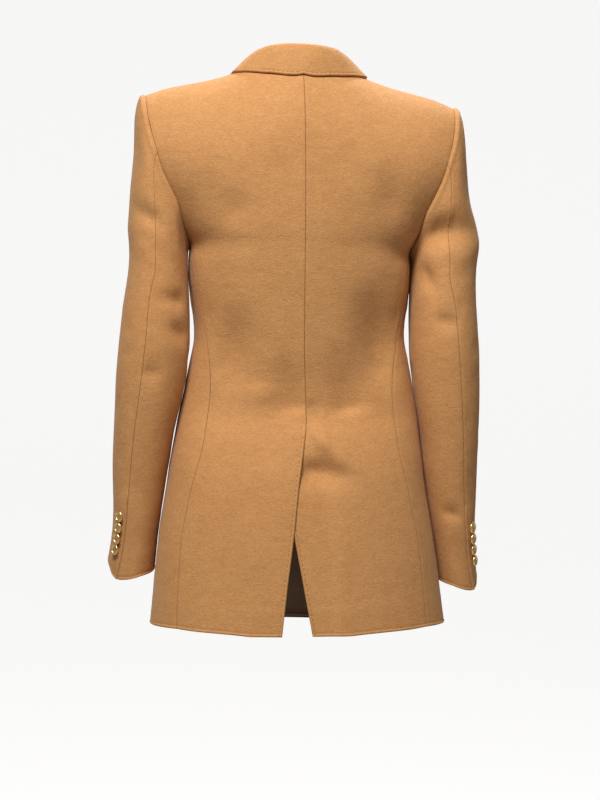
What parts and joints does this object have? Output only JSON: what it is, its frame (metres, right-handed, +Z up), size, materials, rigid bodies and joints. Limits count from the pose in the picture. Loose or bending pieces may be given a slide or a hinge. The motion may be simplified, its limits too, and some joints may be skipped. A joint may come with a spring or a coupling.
{
  "type": "double breasted blazer",
  "caption": "Hip-length double breasted blazer in camel wool, worn shape and empty, with peak lapels, back vent and gold buttons.",
  "frame": {"origin": "middle of the neck base at the height where the collar meets the shoulders, where the blazer hangs on the wearer", "axes": "+Z up, fronts face -Y, back faces +Y, +X towards the wearer's left"},
  "size_m": [0.4978, 0.2401, 0.7743],
  "materials": {
    "camel_wool": "felted matte",
    "gold_metal": "polished"
  },
  "bodies": {
    "root": {"back_left": "camel_wool", "back_right": "camel_wool", "side_left": "camel_wool", "side_right": "camel_wool", "front_left": "camel_wool", "front_right": "camel_wool", "lapel_left": "camel_wool", "lapel_right": "camel_wool", "sleeve_top_left": "camel_wool", "sleeve_top_right": "camel_wool", "sleeve_under_left": "camel_wool", "sleeve_under_right": "camel_wool", "collar": "camel_wool", "cuff_button_left_1": "gold_metal", "cuff_button_left_2": "gold_metal", "cuff_button_left_3": "gold_metal", "cuff_button_left_4": "gold_metal", "cuff_button_right_1": "gold_metal", "cuff_button_right_2": "gold_metal", "cuff_button_right_3": "gold_metal", "cuff_button_right_4": "gold_metal", "front_button_left_1": "gold_metal", "front_button_left_2": "gold_metal", "front_button_left_3": "gold_metal", "front_button_right_1": "gold_metal", "front_button_right_2": "gold_metal", "front_button_right_3": "gold_metal"}
  },
  "joints": []
}
